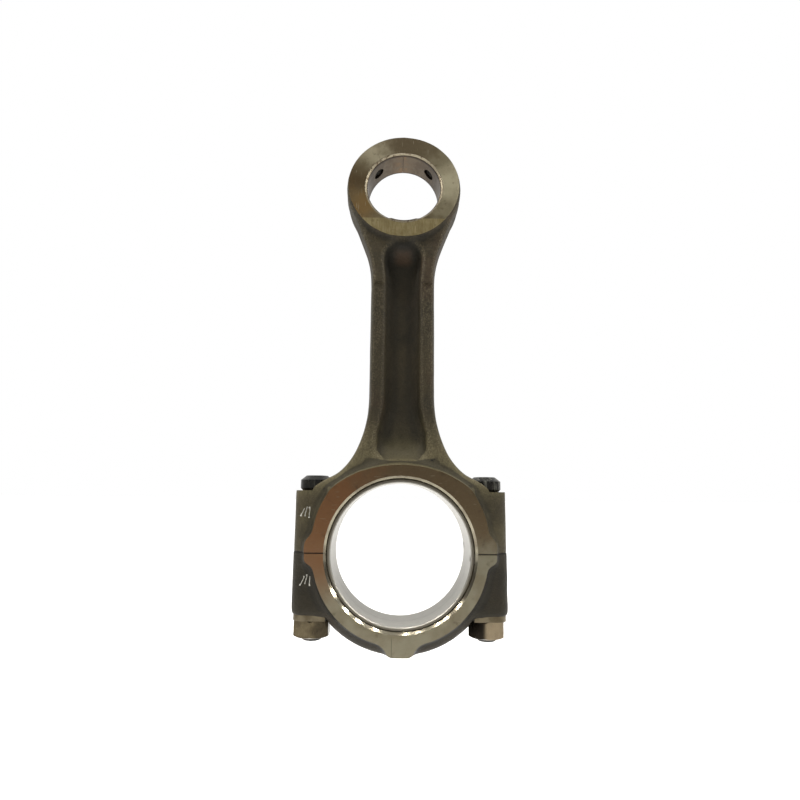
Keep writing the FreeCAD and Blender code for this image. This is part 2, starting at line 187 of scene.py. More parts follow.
def forgedScale():
    look = {"deep": (0.006, 0.005, 0.0025), "body": (0.026, 0.020, 0.0095), "brown": (0.032, 0.019, 0.0095),
            "dust": (0.084, 0.072, 0.038), "rub": (0.17, 0.142, 0.088), "joint": (0.004, 0.003, 0.002),
            "patch": 22 * mm, "grit": 0.9 * mm, "jointHalf": 0.30 * mm}
    # each pair is where an effect starts and where it is full
    place = {"flareTop": (95 * mm, 50 * mm), "flareFoot": (30 * mm, 48 * mm), "pocketX": (14 * mm, 10.5 * mm),
             "pocketY": (15.5 * mm, 11 * mm), "pocketFoot": (66 * mm, 80 * mm), "oilyHigh": (140 * mm, 205 * mm),
             "oilyLow": (125 * mm, 95 * mm), "rampX": (15 * mm, 8 * mm), "rampY": (16 * mm, 13 * mm),
             "rampFoot": (58 * mm, 62 * mm), "rampTop": (78 * mm, 68 * mm), "spotX": (9 * mm, 2 * mm),
             "spotFoot": (196 * mm, 202 * mm), "spotTop": (211 * mm, 206 * mm), "bossX": (46 * mm, 54 * mm),
             "bossZ": (0.3 * mm, 2 * mm), "flangeY": (11 * mm, 12.5 * mm), "flangeFoot": (78 * mm, 90 * mm),
             "flangeTop": (186 * mm, 180 * mm), "leftX": (0.0, -10 * mm), "rodZ": (0.0, 4 * mm),
             "capZ": (0.3 * mm, -0.3 * mm)}
    f = Finish("forgedScale", Metallic=0.30, IOR=1.36)
    patches = f.noise(look["patch"], 5.0)
    brown = f.noise(look["patch"] * 1.7, 3.0, shift=5.0)
    grit = f.noise(look["grit"], 4.0, roughness=0.7)
    pits = f.noise(look["grit"] * 2.8, 3.0, shift=3.0)
    ridge = f.node("ShaderNodeAttribute", {"attribute_name": "ridge"}, {}, "Fac")
    # how deep a point lies in a hollow; the hollows get painted shade below
    shadedHollow = ridge.step(0.50, 0.24)
    flare = f.z.step(*place["flareTop"]) * f.z.step(*place["flareFoot"])      # dust gathers here; the up-facing flare is also painted lighter, a painted light from above
    # grit speckles of dust everywhere, plus an even painted lightening on the flare
    dustAndLightShare = (flare * 0.7 + 0.22) * grit.step(0.42, 0.66) + flare * 0.68
    ridgeWearAndSheen = ridge.step(0.66, 0.95) * grit.step(0.46, 0.64) * f.z.step(*place["rodZ"])
    base = f.tint(look["deep"], look["body"], patches.step(0.20, 0.60))
    base = f.tint(base, look["brown"], brown.step(0.48, 0.66) * 0.6)
    base = f.tint(base, look["dust"], dustAndLightShare.atMost(1.0))
    # ridges tinted lighter: rubbed wear, and a painted highlight along the edges
    base = f.tint(base, look["rub"], ridgeWearAndSheen * 0.30)
    # painted shade: the concave hollows and creases are tinted dark, along with the real pits
    base = f.tint(base, look["deep"], (shadedHollow * 0.65 + pits.step(0.60, 0.72) * 0.35).atMost(1.0))
    # painted shade darkens the pocket, most of all towards the small end
    pocket = (f.x.size().step(*place["pocketX"]) * f.y.size().step(*place["pocketY"])
              * f.z.step(*place["pocketFoot"]))
    oilAndShade = f.z.step(*place["oilyHigh"]) * 0.62 + f.z.step(*place["oilyLow"]) * 0.28 + 0.18
    base = f.tint(base, look["deep"], pocket * oilAndShade)
    # painted light: the ramp at the pocket's foot is tinted lighter, as it faces up to the light
    ramp = f.x.size().step(*place["rampX"]) * f.z.step(*place["rampFoot"]) * f.z.step(*place["rampTop"])
    base = f.tint(base, look["dust"], ramp * f.y.size().step(*place["rampY"]) * 0.45)
    # painted light: a lighter brown patch where the pocket's floor rises near its top end
    spot = f.x.size().step(*place["spotX"]) * f.z.step(*place["spotFoot"]) * f.z.step(*place["spotTop"])
    base = f.tint(base, look["brown"], pocket * spot * 0.9)
    boss = f.x.size().step(*place["bossX"]) * f.z.step(*place["bossZ"])
    base = f.tint(base, look["dust"], boss * (0.12 + patches.step(0.40, 0.66) * 0.24))
    flanges = f.y.size().step(*place["flangeY"]) * f.z.step(*place["flangeFoot"]) * f.z.step(*place["flangeTop"])
    base = f.tint(base, look["deep"], flanges * (0.16 + f.x.step(*place["leftX"]) * 0.16))
    base = f.tint(base, look["deep"], f.z.step(*place["capZ"]) * 0.56)       # the cap is darker as a whole
    base = f.tint(base, look["joint"], f.z.size().step(look["jointHalf"] * 1.5, look["jointHalf"]))
    f.feed(Base_Color=base, Roughness=0.44 + grit * 0.24 + flare * 0.06)
    f.relief((patches, 0.5 * mm), (pits, 0.35 * mm), (grit, 0.22 * mm))
    return f.material


def facedSteel(name, look, turning):
    # a faced steel surface: fine tool marks, scratches, oil tints; look["over"] gives (colour, where) layers
    f = Finish(name, Metallic=0.9)
    cloud = f.noise(look["patch"], 4.0, shift=look["shift"])
    blot = f.noise(look["patch"] * 0.42, 4.0, shift=look["shift"] + 2.0)
    fine = f.noise(1.6 * mm, 3.0, shift=look["shift"])
    rings = (f.reach(turning["z"]) * turning["perMetre"] + f.noise(9 * mm) * 2.0).wave() * 0.5 + 0.5
    streak = f.noise(0.6 * mm, 2.0, turning["stretch"])
    scratch = f.noise(2.2 * mm, 1.0, turning["stretch"], 8.0)
    base = f.tint(look["pale"], look["tan"], cloud.step(0.36, 0.66))
    for colour, where in look["over"](f, cloud):
        base = f.tint(base, colour, where)
    base = f.tint(base, look["stain"], blot.step(0.56, 0.76) * 0.50)
    base = f.tint(base, look["bright"], streak.step(0.60, 0.80) * 0.22 + scratch.step(0.70, 0.76) * 0.35)
    base = f.tint(base, (0.008, 0.006, 0.004), f.z.size().step(0.50 * mm, 0.28 * mm))
    f.feed(Base_Color=base, Roughness=look["gloss"] + fine * 0.16 + streak * 0.08)
    f.relief((rings, turning["depth"]), (streak, 0.014 * mm))
    return f.material


def thrustTones(f, cloud):
    # heated copper brown on the upper left, olive brown over the top and right, bare and pale below
    upper = (f.z / (34 * mm) + cloud * 0.9).step(0.10, 1.05)
    left = (f.x / (-48 * mm) + cloud * 0.8).step(0.45, 1.25)
    across = f.z.step(-38 * mm, -2 * mm)
    line = (f.x + 5.2 * mm).size().step(0.30 * mm, 0.12 * mm) * f.z.step(-49 * mm, -52 * mm)    # on the bottom lug
    return [((0.078, 0.054, 0.029), upper * 0.95), ((0.128, 0.061, 0.027), left * across * 0.85),
            ((0.03, 0.025, 0.015), line * 0.6)]


def eyeReflectionFans(f, cloud):
    # painted reflection: the broad bright and dark fans that a turned face shows round the eye
    up = f.z - pinZ
    turn = f.node("ShaderNodeMath", {"operation": "ARCTAN2"}, {0: up, 1: f.x})

    def fan(angle, half):
        away = (turn - math.radians(angle)).size()
        away = away.atMost(2 * math.pi - away) + (cloud - 0.5) * 0.7
        return away.step(math.radians(half * 1.15), 0.0)

    return [((0.098, 0.075, 0.043), fan(88, 62)), ((0.34, 0.305, 0.21), fan(130, 26) * 0.75),
            ((0.075, 0.051, 0.024), fan(172, 36)), ((0.175, 0.107, 0.038), fan(-152, 32) * 0.85),
            ((0.38, 0.345, 0.235), fan(6, 48)), ((0.20, 0.175, 0.11), fan(-32, 18) * 0.7),
            ((0.13, 0.11, 0.065), fan(38, 12) * 0.6)]


def flatTones(f, cloud):
    marks = f.noise(0.9 * mm, 2.0, (1, 1, 0.08), 3.0)
    return [((0.18, 0.14, 0.062), marks.step(0.42, 0.62) * 0.6), ((0.44, 0.37, 0.21), marks.step(0.62, 0.72) * 0.5)]


def boredSteel(name, clean, oilAndShade, gloss):
    f = Finish(name, Metallic=0.95)
    rings = (f.y * 5200.0 + f.noise(6 * mm) * 1.5).wave() * 0.5 + 0.5
    cloud = f.noise(8 * mm, 3.0)
    base = f.tint(clean, oilAndShade, cloud.step(0.35, 0.70))
    f.feed(Base_Color=base, Roughness=gloss + cloud * 0.10)
    f.relief((rings, 0.006 * mm))
    return f.material


def oilWay():
    # the oil drillings, near black inside
    f = Finish("oilWay", Metallic=0.0)
    base = f.tint((0.004, 0.003, 0.0015), (0.011, 0.008, 0.0045), f.noise(2 * mm).step(0.4, 0.7))
    f.feed(Base_Color=base, Roughness=0.5 + f.noise(1 * mm) * 0.2)
    return f.material


def scribedSteel():
    f = Finish("scribedSteel", Metallic=0.4)
    base = f.tint((0.42, 0.41, 0.37), (0.25, 0.24, 0.21), f.noise(0.8 * mm).step(0.42, 0.62))
    f.feed(Base_Color=base, Roughness=0.45 + f.noise(1 * mm) * 0.2)
    return f.material


def bushBronze():
    look = {"body": (0.088, 0.066, 0.042), "dull": (0.064, 0.044, 0.025), "copper": (0.150, 0.092, 0.045),
            "wear": (0.125, 0.106, 0.076), "rim": (0.24, 0.21, 0.15), "edge": (0.014, 0.008, 0.004)}
    f = Finish("bushBronze", Metallic=0.85)
    seam = (f.x + 0.6 * mm).size()
    cloud = f.noise(6 * mm, 4.0)
    wear = f.noise(3 * mm, 3.0, (1, 0.25, 1), 4.0)
    reach = f.reach(pinZ)
    nearEnd = f.y.size().step(9.5 * mm, 10.5 * mm)
    base = f.tint(look["body"], look["dull"], cloud.step(0.35, 0.65))
    base = f.tint(base, look["copper"], seam.step(9 * mm, 1 * mm) * cloud.step(0.38, 0.62) * 0.6)
    base = f.tint(base, look["wear"], wear.step(0.55, 0.75) * 0.5)
    base = f.tint(base, look["edge"], seam.step(0.45 * mm, 0.15 * mm) * f.z.step(pinZ, pinZ + 5 * mm) * 0.5)
    rim = f.tint(look["rim"], look["body"], f.noise(2.2 * mm, 4.0, shift=2.0).step(0.50, 0.66))
    base = f.tint(base, rim, reach.step(pinR + 0.15 * mm, pinR + 0.35 * mm) * nearEnd)
    base = f.tint(base, look["edge"], reach.step(pinR + 0.04 * mm, pinR + 0.12 * mm) * (1 - nearEnd))
    # painted shadow: a dark line round the bore's edge at each end
    edgeShadow = (reach - pinR - 0.1 * mm).size().step(0.55 * mm, 0.25 * mm) * nearEnd
    base = f.tint(base, look["edge"], edgeShadow * 0.8)
    f.feed(Base_Color=base, Roughness=0.32 + wear * 0.18)
    f.relief(((f.y * 6000.0).wave() * 0.5 + 0.5, 0.004 * mm), (wear, 0.01 * mm))
    return f.material


def shellLining():
    look = {"lining": (0.35, 0.34, 0.305), "worn": (0.23, 0.22, 0.195), "back": (0.10, 0.09, 0.07)}
    f = Finish("shellLining", Metallic=0.8)
    inside = f.reach().step(crankR + 0.9 * mm, crankR + 0.5 * mm)
    streak = f.noise(4 * mm, 3.0, (1, 8, 1))
    line = (f.y.size() - 0.4 * mm).size().step(0.5 * mm, 0.2 * mm) * f.z.step(0.0, -20 * mm)
    edge = f.y.size().step(shellHalf - 1.6 * mm, shellHalf - 0.7 * mm)
    base = f.tint(look["lining"], look["worn"], (streak.step(0.40, 0.75) * 0.7 + line * 0.5).atMost(1.0))
    base = f.tint(base, look["worn"], edge * 0.7)
    base = f.tint(look["back"], base, inside)
    f.feed(Base_Color=base, Roughness=0.36 - inside * 0.06 + streak * 0.10)
    f.relief((streak, 0.006 * mm))
    return f.material


def blackOxide():
    f = Finish("blackOxide", Metallic=0.10, IOR=1.34)
    cloud = f.noise(5 * mm, 4.0)
    rub = f.noise(1.2 * mm, 3.0, shift=2.0)
    streakSheen = f.noise(1.6 * mm, 2.0, (1, 1, 0.12), 6.0)
    base = f.tint((0.002, 0.002, 0.0015), (0.008, 0.0075, 0.005), cloud.step(0.35, 0.7))
    base = f.tint(base, (0.07, 0.065, 0.055), rub.step(0.70, 0.84) * 0.30)
    # painted highlight: light vertical streaks on the heads, brighter on the right bolt
    base = f.tint(base, (0.040, 0.040, 0.034), streakSheen.step(0.60, 0.70) * 0.6)
    base = f.tint(base, (0.12, 0.12, 0.10), streakSheen.step(0.50, 0.62) * f.x.step(0.0, 5 * mm) * 0.5)
    f.feed(Base_Color=base, Roughness=0.16 + cloud * 0.14)
    f.relief((rub, 0.03 * mm), (streakSheen, 0.05 * mm))
    return f.material


def nutSteel():
    f = Finish("nutSteel", Metallic=0.9)
    cloud = f.noise(9 * mm, 4.0)
    scuff = f.noise(0.8 * mm, 3.0, (1, 1, 0.15), 5.0)
    base = f.tint((0.085, 0.068, 0.039), (0.048, 0.037, 0.021), cloud.step(0.38, 0.66))
    base = f.tint(base, (0.22, 0.17, 0.115), scuff.step(0.56, 0.75) * 0.42)
    base = f.tint(base, (0.022, 0.016, 0.010), f.noise(4 * mm, 4.0, shift=7.0).step(0.58, 0.73) * 0.6)
    base = f.tint(base, (0.30, 0.24, 0.16), f.x.step(0.0, 5 * mm) * 0.38)    # painted light: the right nut is painted brighter
    inwardShade = (nutX - f.x.size()).step(1 * mm, 4.5 * mm)                       # painted shade and dark reflection on the side towards the strap, strongest on the right nut
    base = f.tint(base, (0.008, 0.006, 0.004), inwardShade * (f.x.step(0.0, 5 * mm) * 0.42 + 0.55))
    f.feed(Base_Color=base, Roughness=0.20 + scuff * 0.2)
    f.relief((scuff, 0.02 * mm))
    return f.material


thrustLook = {"pale": (0.148, 0.136, 0.096), "tan": (0.118, 0.102, 0.068), "over": thrustTones,
              "stain": (0.038, 0.028, 0.017), "bright": (0.22, 0.20, 0.15), "patch": 15 * mm, "shift": 1.0,
              "gloss": 0.26}
eyeFaceLook = {"pale": (0.185, 0.160, 0.100), "tan": (0.120, 0.098, 0.056), "over": eyeReflectionFans,
               "stain": (0.070, 0.050, 0.025), "bright": (0.42, 0.38, 0.28), "patch": 9 * mm, "shift": 6.0,
               "gloss": 0.24}
eyeFlatLook = {"pale": (0.275, 0.230, 0.120), "tan": (0.205, 0.165, 0.082), "over": flatTones,
               "stain": (0.110, 0.080, 0.040), "bright": (0.42, 0.36, 0.22), "patch": 7 * mm, "shift": 4.0,
               "gloss": 0.30}
# how each face was turned: z is the centre of the tool marks, far below the flat, whose marks look straight
thrustTurning = {"z": 0.0, "perMetre": 9000.0, "stretch": (0.25, 1, 2.2), "depth": 0.006 * mm}
eyeFaceTurning = {"z": pinZ, "perMetre": 7000.0, "stretch": (3.0, 1, 0.25), "depth": 0.005 * mm}
eyeFlatTurning = {"z": pinZ - 400 * mm, "perMetre": 600.0, "stretch": (4.0, 1, 0.12), "depth": 0.004 * mm}
finishes = {
    "forged": forgedScale(),
    "thrust": facedSteel("thrustFace", thrustLook, thrustTurning),
    "eyeFace": facedSteel("eyeFace", eyeFaceLook, eyeFaceTurning),
    "eyeFlat": facedSteel("eyeFlat", eyeFlatLook, eyeFlatTurning),
    "bored": boredSteel("boredSteel", (0.20, 0.18, 0.13), (0.09, 0.075, 0.05), 0.24),
    "bevel": boredSteel("turnedBevel", (0.24, 0.22, 0.165), (0.15, 0.13, 0.095), 0.09),
    "bush": bushBronze(),
    "shell": shellLining(),
    "bolt": blackOxide(),
    "nut": nutSteel(),
    "oilWay": oilWay(),
    "pad": boredSteel("nutPadSteel", (0.125, 0.105, 0.070), (0.070, 0.056, 0.034), 0.36),
    "scribed": scribedSteel(),
}
print("finishes ready:", len(finishes))


def objectFrom(name, build):
    shape = bmesh.new()
    build(shape)
    bmesh.ops.recalc_face_normals(shape, faces=shape.faces)
    mesh = bpy.data.meshes.new(name)
    shape.to_mesh(mesh)
    shape.free()
    made = bpy.data.objects.new(name, mesh)
    scene.collection.objects.link(made)
    return made


def addRod(shape, start, end, startR, endR=None, segments=192):
    # a cylinder or cone between two points
    start, end = Vector(start), Vector(end)
    along = end - start
    place = Matrix.Translation((start + end) / 2) @ along.to_track_quat("Z", "Y").to_matrix().to_4x4()
    bmesh.ops.create_cone(shape, cap_ends=True, segments=segments, radius1=startR,
                          radius2=startR if endR is None else endR, depth=along.length, matrix=place)


def addPrism(shape, outline, move):
    # a straight prism from a closed outline of points, carried along by move
    low = [shape.verts.new(point) for point in outline]
    high = [shape.verts.new(Vector(point) + Vector(move)) for point in outline]
    shape.faces.new(low)
    shape.faces.new(high)
    for i in range(len(low)):
        shape.faces.new((low[i], low[i - 1], high[i - 1], high[i]))


def addBlock(shape, low, high):
    addPrism(shape, [(low[0], low[1], low[2]), (high[0], low[1], low[2]), (high[0], high[1], low[2]),
                     (low[0], high[1], low[2])], (0, 0, high[2] - low[2]))


def rodTool(*args, **kwargs):
    return objectFrom("tool", lambda shape: addRod(shape, *args, **kwargs))


def prismTool(outline, move):
    return objectFrom("tool", lambda shape: addPrism(shape, outline, move))


def blockTool(low, high):
    return objectFrom("tool", lambda shape: addBlock(shape, low, high))


def settled(piece):
    # the piece with its modifiers worked into its mesh
    depsgraph = bpy.context.evaluated_depsgraph_get()
    fresh = bpy.data.meshes.new_from_object(piece.evaluated_get(depsgraph))
    piece.modifiers.clear()
    old, piece.data = piece.data, fresh
    bpy.data.meshes.remove(old)


def machine(piece, steps):
    # steps are (operation, tool) pairs, taken in order
    for operation, tool in steps:
        cut = piece.modifiers.new("cut", "BOOLEAN")
        cut.operation = operation
        cut.solver = "MANIFOLD"
        cut.object = tool
    settled(piece)
    for _, tool in steps:
        mesh = tool.data
        bpy.data.objects.remove(tool)
        bpy.data.meshes.remove(mesh)
    return piece


def both(make):
    return [("DIFFERENCE", make(side)) for side in (-1, 1)]


def readPlaces(mesh):
    places = np.empty(len(mesh.vertices) * 3)
    mesh.vertices.foreach_get("co", places)
    return places.reshape(-1, 3)


def readNormals(mesh):
    normals = np.empty(len(mesh.vertices) * 3)
    mesh.vertices.foreach_get("normal", normals)
    return normals.reshape(-1, 3)


def smoothed(mesh, places, rounds, hold):
    # eases every point towards its neighbours; hold is 1 where the shape is free and 0 where it is kept
    pairs = np.empty(len(mesh.edges) * 2, int)
    mesh.edges.foreach_get("vertices", pairs)
    first, second = pairs.reshape(-1, 2).T
    count = len(places)
    links = np.bincount(first, minlength=count) + np.bincount(second, minlength=count)
    places = places.copy()
    for _ in range(rounds):
        around = np.stack([np.bincount(first, places[second, k], count)
                           + np.bincount(second, places[first, k], count) for k in range(3)], 1)
        places += hold[:, None] * 0.5 * (around / links[:, None] - places)
    return places


def unevenness(places, seed, longest, count=14):
    # a slow, slight waviness, the same on each run
    dice = np.random.default_rng(seed)
    total = np.zeros(len(places))
    for _ in range(count):
        direction = dice.normal(size=3)
        direction /= np.linalg.norm(direction)
        wavelength = longest * dice.uniform(0.35, 1.0)
        total += np.sin(places @ direction * 2 * math.pi / wavelength + dice.uniform(0, 6.28))
    return total / math.sqrt(count)


forge = {"voxel": 1.0 * mm, "firstRounds": 2, "rounds": 22, "stock": 3.0 * mm, "waves": 0.05 * mm,
         "waveLength": 26 * mm, "flashHigh": 0.35 * mm, "flashHalf": 1.7 * mm, "ridgeFull": 0.55 * mm,
         "softRounds": 60}
stock = forge["stock"]


def forgedBlank(name, node, pushes, additions, seed, soft=None):
    # the CAD node with machining stock added, its corners rounded as a die leaves them
    def build(shape):
        shape.from_mesh(frame["nodes"][node].data)
        bmesh.ops.remove_doubles(shape, verts=shape.verts, dist=0.002 * mm)
        for vert in shape.verts:
            for push in pushes:
                push(vert.co)
        additions(shape)

    blank = objectFrom(name, build)
    remesh = blank.modifiers.new("remesh", "REMESH")
    remesh.mode = "VOXEL"
    remesh.voxel_size = forge["voxel"]
    settled(blank)
    mesh = blank.data
    before = smoothed(mesh, readPlaces(mesh), forge["firstRounds"], np.ones(len(mesh.vertices)))
    after = smoothed(mesh, before, forge["rounds"], np.ones(len(before)))
    if soft:
        after = smoothed(mesh, after, forge["softRounds"], soft(after))
    mesh.vertices.foreach_set("co", after.ravel())
    mesh.update()
    normals = readNormals(mesh)
    ridge = ((before - after) * normals).sum(1) / forge["ridgeFull"] * 0.5 + 0.5
    # the line that the two dies leave round the middle
    flash = np.clip(1 - (after[:, 1] / forge["flashHalf"]) ** 2, 0, 1) * np.clip(1 - 2 * abs(normals[:, 1]), 0, 1)
    lift = forge["waves"] * unevenness(after, seed, forge["waveLength"]) + forge["flashHigh"] * flash
    mesh.vertices.foreach_set("co", (after + normals * lift[:, None]).ravel())
    mesh.update()
    ridge = np.clip(ridge + flash * 0.25, 0, 1)
    tree = KDTree(len(after))
    for i, place in enumerate(after):
        tree.insert(place, i)
    tree.balance()
    return blank, tree, ridge


def finished(piece, tree, ridge, zones, body, node):
    # gives each face its finish and each point its ridge value, which the forged finish turns into ridge wear with
    # painted highlight and painted shade in the hollows, then hands the piece to its body
    mesh = piece.data
    low, high = (np.array(corner) for corner in boxes[node])
    mesh.vertices.foreach_set("co", np.clip(readPlaces(mesh), low, high).ravel())
    mesh.materials.clear()
    for key in ("forged", *(zone for zone, _ in zones)):
        mesh.materials.append(finishes[key])
    order = [material.name for material in mesh.materials]
    count = len(mesh.polygons)
    centres, normals = np.empty(count * 3), np.empty(count * 3)
    mesh.polygons.foreach_get("center", centres)
    mesh.polygons.foreach_get("normal", normals)
    centres, normals = centres.reshape(-1, 3), normals.reshape(-1, 3)
    chosen = np.full(count, order.index(finishes["forged"].name))
    for zone, test in zones:
        chosen[test(centres, normals)] = order.index(finishes[zone].name)
    mesh.polygons.foreach_set("material_index", chosen)
    wear = mesh.attributes.new("ridge", "FLOAT", "POINT")
    values = [ridge[tree.find(vert.co)[1]] for vert in mesh.vertices]
    wear.data.foreach_set("value", values)
    mesh.shade_smooth()
    mesh.set_sharp_from_angle(angle=sharpAngle)
    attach(piece, body)
    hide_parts(node)
    print(piece.name, "faces", count)


bigEndTop = 80 * mm
eye = {"outerR": boxes["rod_forging"][1].z - pinZ, "flatHalf": 16.0 * mm, "taperStart": pinZ - 24.8 * mm,
       "slope": 0.068, "lip": 2.5 * mm, "foot": pinZ - 60 * mm, "oilR": 4.4 * mm, "oilMouth": 1.5 * mm}
seat = {"innerX": 44 * mm, "boltHoleR": 7.2 * mm, "fillR": 9 * mm, "headHigh": 9.9 * mm, "reliefR": 12.2 * mm,
        "reliefHigh": 40 * mm, "wallX": 46.95 * mm, "nutReliefR": 14.0 * mm}
seatZ = boltTopZ - seat["headHigh"]
# the flare runs down in front of the heads: (across, above the seat) points, the last on the seat itself
flareLine = ((48.0 * mm, 8.2 * mm), (54.8 * mm, 3.7 * mm), (56.4 * mm, 2.2 * mm), (57.6 * mm, 0.0))
flareEnd = {"innerX": 40 * mm, "outerX": 59 * mm, "footX": 60 * mm, "halfY": 15.4 * mm, "innerUp": 12 * mm,
            "outerUp": 3 * mm, "down": 6 * mm}
pocket = {"halfY": 14.9 * mm, "cornerX": (8.5 * mm, 18.5 * mm), "cornerZ": (55 * mm, 68 * mm), "foot": 60 * mm,
          "footReach": 9 * mm, "footHalf": 25 * mm, "head": 207 * mm, "headReach": 7 * mm, "headHalf": 15 * mm,
          "headShare": 0.6}
flange = {"lowZ": 84.3 * mm, "highZ": 182.5 * mm, "lowHalf": 13.9 * mm, "highHalf": 12.95 * mm}
bore = {"chamfer": 2.0 * mm, "joint": 0.07 * mm}
tang = {"width": 5.2 * mm, "fromEdge": 0.6 * mm, "drop": 5.5 * mm, "spare": 0.3 * mm}


def eyeHalfAt(z):
    return eye["flatHalf"] - np.maximum(z - eye["taperStart"], 0) * eye["slope"]


def chamferTool(radius, width, faceY, side):
    return rodTool((0, side * (faceY - width - margin), 0), (0, side * (faceY + margin), 0),
                   radius - margin, radius + width + margin)


def faceTool(side, bottom, top):
    # everything outside the thrust face on one side
    return blockTool((-far, side * thrustHalf if side > 0 else -far, bottom),
                     (far, far if side > 0 else -thrustHalf, top))


def pushThrust(place):
    if abs(place.y) > thrustHalf - close:
        place.y += math.copysign(stock, place.y)


def tangSlot(up):
    # slot for a shell's tang, on the right: the upper one at the back, the lower one at the front
    tipX = boxes["upper_bearing_shell" if up else "lower_bearing_shell"][1].x
    middleY = (shellHalf - tang["width"] / 2 - tang["fromEdge"]) * (1 if up else -1)
    half = tang["width"] / 2 + tang["spare"]
    deep = tang["drop"] + tang["spare"]
    return blockTool((housingR - margin, middleY - half, -margin if up else -deep),
                     (tipX + tang["spare"], middleY + half, deep if up else margin))


tally = {"rod": (-61.2 * mm, 25 * mm), "cap": (-59.6 * mm, -17.4 * mm), "gap": 2.3 * mm, "stagger": 0.8 * mm,
         "firstAngle": 64, "turn": 11, "halfLong": 3.0 * mm, "halfWide": 0.30 * mm, "depth": 0.30 * mm}


def tallyStrokes():
    # three plain strokes that pair the cap with its rod, on each of the two left bosses
    for x, z in (tally["rod"], tally["cap"]):
        for i in range(3):
            yield (x + (i - 1) * tally["gap"], z + (i % 2) * tally["stagger"],
                   math.radians(tally["firstAngle"] + tally["turn"] * i))


def tallyTools(blank):
    # each stroke is cut to the same depth wherever the forged face really is
    tools = []
    for x, z, angle in tallyStrokes():
        hit, place, _, _ = blank.ray_cast(Vector((x, -far, z)), Vector((0, 1, 0)))
        if not hit:
            continue
        along = Vector((math.cos(angle), 0, math.sin(angle))) * tally["halfLong"]
        across = Vector((-math.sin(angle), 0, math.cos(angle))) * tally["halfWide"]
        middle = place + Vector((0, tally["depth"], 0))
        outline = [middle - along - across, middle + along - across, middle + along + across,
                   middle - along + across]
        tools.append(("DIFFERENCE", prismTool(outline, (0, -3 * mm, 0))))
    return tools


def pushRodFaces(place):
    pushThrust(place)
    if abs(place.z) < 0.03 * mm:
        place.z = -stock
    if abs(place.z - seatZ) < close and abs(place.x) > seat["innerX"]:
        place.z += stock


def rodStock(shape):
    eyeHalf = eye["flatHalf"] + stock
    lipStart = eye["flatHalf"] - eye["lip"]
    addRod(shape, (0, -lipStart, pinZ), (0, lipStart, pinZ), eye["outerR"])
    nearX, farX = pocket["cornerX"]
    lowZ, highZ = pocket["cornerZ"]
    for side in (-1, 1):
        addRod(shape, (0, side * (lipStart - 0.5 * mm), pinZ), (0, side * eyeHalf, pinZ), eye["outerR"],
               eye["outerR"] - eye["lip"] - stock)
        addRod(shape, (side * nutX, 0, -stock), (side * nutX, 0, seatZ - 2 * mm), seat["fillR"])
        # the flare's end in front of and behind a bolt head
        profile = [(flareEnd["innerX"], -flareEnd["down"]), (flareEnd["innerX"], flareEnd["innerUp"]),
                   (flareEnd["outerX"], flareEnd["outerUp"]), (flareEnd["footX"], -flareEnd["down"])]
        addPrism(shape, [(side * x, -flareEnd["halfY"], seatZ + up) for x, up in profile],
                 (0, 2 * flareEnd["halfY"], 0))
        # fills the two corners at the pocket's foot, which the smoothing then eases
        addPrism(shape, [(side * x, -pocket["halfY"], z) for x, z in ((farX, lowZ), (farX, highZ), (nearX, lowZ))],
                 (0, 2 * pocket["halfY"], 0))
    addRod(shape, (0, -thrustHalf - stock, 0), (0, thrustHalf + stock, 0), housingR + stock)


def leaningTool(side, inset=0.0):
    # everything outside the small end's face on one side: square below the taper line, leaning in above it
    top = pinZ + eye["outerR"] + 8 * mm
    profile = [(eye["flatHalf"], eye["foot"]), (eye["flatHalf"], eye["taperStart"]), (float(eyeHalfAt(top)), top),
               (beside, top), (beside, eye["foot"])]
    return prismTool([(-far, side * (y - inset), z) for y, z in profile], (2 * far, 0, 0))


def landTool(side):
    # the flanges' middle stretch is a shade lower, with a small step at each end
    outline = [(-far, side * flange["lowHalf"], flange["lowZ"]), (-far, side * flange["highHalf"], flange["highZ"]),
               (-far, side * beside, flange["highZ"]), (-far, side * beside, flange["lowZ"])]
    return prismTool(outline, (2 * far, 0, 0))


def oilDrill(side, start, end, endR=None):
    # along a line up and to one side of the pin
    along = Vector((side, 0, 1)).normalized()
    centre = Vector((0, 0, pinZ))
    return rodTool(centre + along * start, centre + along * end, eye["oilR"], endR, segments=64)


def oilMouthTool(side):
    mouth = eye["outerR"] - eye["oilMouth"]
    return oilDrill(side, mouth, mouth + 2 * eye["oilMouth"], eye["oilR"] + 2 * eye["oilMouth"])


def headSeatTools(side):
    low, high = sorted((side * seat["wallX"], side * far))
    relief = rodTool((side * nutX, 0, seatZ), (side * nutX, 0, seatZ + seat["reliefHigh"]), seat["reliefR"])
    relief = machine(relief, [("INTERSECT", blockTool((low, -far, seatZ - margin), (high, far, seatZ + far)))])
    above = 20 * mm
    profile = (*flareLine, (far, 0.0), (far, above), (flareLine[0][0], above))
    outline = [(side * x, -far, seatZ + up) for x, up in profile]
    hole = rodTool((side * nutX, 0, -20 * mm), (side * nutX, 0, seatZ + 5 * mm), seat["boltHoleR"])
    return [("DIFFERENCE", relief), ("DIFFERENCE", prismTool(outline, (0, 2 * far, 0))), ("DIFFERENCE", hole)]


def pocketEnds(places):
    # the pocket's two ends are eased more than the rest
    x, y, z = places.T
    foot = np.exp(-((z - pocket["foot"]) / pocket["footReach"]) ** 2) * (abs(x) < pocket["footHalf"])
    head = np.exp(-((z - pocket["head"]) / pocket["headReach"]) ** 2) * (abs(x) < pocket["headHalf"])
    return np.clip(foot + head * pocket["headShare"], 0, 1)


